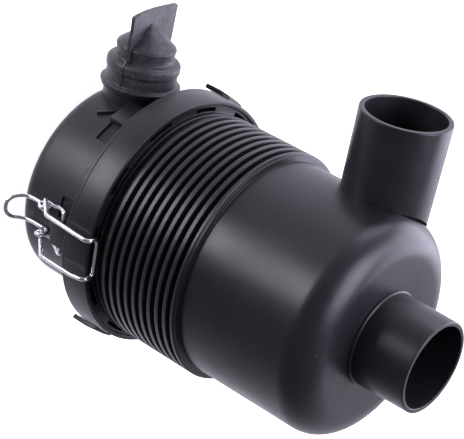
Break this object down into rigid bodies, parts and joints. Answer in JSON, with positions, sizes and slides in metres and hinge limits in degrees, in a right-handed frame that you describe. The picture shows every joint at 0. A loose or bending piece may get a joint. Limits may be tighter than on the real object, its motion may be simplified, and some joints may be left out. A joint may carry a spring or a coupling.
{
  "type": "air cleaner housing",
  "caption": "Round ribbed plastic air cleaner housing with axial outlet, tangential inlet, latched dust cover, rubber dust valve and filter elements inside.",
  "frame": {"origin": "centre of the cover's flat end face, which the housing stands on", "axes": "+Z along the body from the cover to the outlet mouth, +X the way the inlet tube points, +Y completes the right-handed set"},
  "size_m": [0.2264, 0.1926, 0.3035],
  "materials": {
    "body_plastic": "satin moulded black plastic",
    "cover_plastic": "satin moulded black plastic",
    "black_rubber": "matte moulded rubber",
    "latch_wire": "bright zinc-plated spring wire",
    "filter_paper": "pleated resin-treated paper",
    "urethane": "moulded soft urethane",
    "perforated_steel": "galvanised perforated sheet",
    "safety_fleece": "matted fleece"
  },
  "bodies": {
    "housing": {"body_shell": "body_plastic", "inlet_spigot": "body_plastic", "outlet_spigot": "body_plastic", "cover": "cover_plastic", "cover_seal": "black_rubber", "dust_baffle": "body_plastic", "dust_valve": "black_rubber", "primary_media": "filter_paper", "primary_outer_screen": "perforated_steel", "primary_inner_core": "perforated_steel", "primary_open_end_cap": "urethane", "primary_closed_end_cap": "urethane", "safety_media": "safety_fleece", "safety_core": "perforated_steel", "safety_open_end_cap": "urethane", "safety_closed_end_cap": "urethane"},
    "latch_1_handle": {"latch_1_handle": "latch_wire"},
    "latch_1_bail": {"latch_1_bail": "latch_wire"},
    "latch_2_handle": {"latch_2_handle": "latch_wire"},
    "latch_2_bail": {"latch_2_bail": "latch_wire"}
  },
  "joints": [
    {"name": "latch_1_handle_pivot", "type": "hinge", "parent": "housing", "child": "latch_1_handle", "pos_m": [-0.00368, 0.08112, 0.0543], "axis": [0.999, 0.0454, 0], "range_deg": [0, 140]},
    {"name": "latch_1_bail_pivot", "type": "hinge", "parent": "latch_1_handle", "child": "latch_1_bail", "pos_m": [-0.00354, 0.07802, 0.033], "axis": [0.999, 0.0454, 0], "range_deg": [-196, 0]},
    {"name": "latch_2_handle_pivot", "type": "hinge", "parent": "housing", "child": "latch_2_handle", "pos_m": [0.00368, -0.08112, 0.0543], "axis": [-0.999, -0.0454, 0], "range_deg": [0, 140]},
    {"name": "latch_2_bail_pivot", "type": "hinge", "parent": "latch_2_handle", "child": "latch_2_bail", "pos_m": [0.00354, -0.07802, 0.033], "axis": [-0.999, -0.0454, 0], "range_deg": [-196, 0]}
  ],
  "couplings": [
    {"joint": "latch_1_bail_pivot", "follows": "latch_1_handle_pivot", "ratio": -1.4},
    {"joint": "latch_2_bail_pivot", "follows": "latch_2_handle_pivot", "ratio": -1.4}
  ]
}
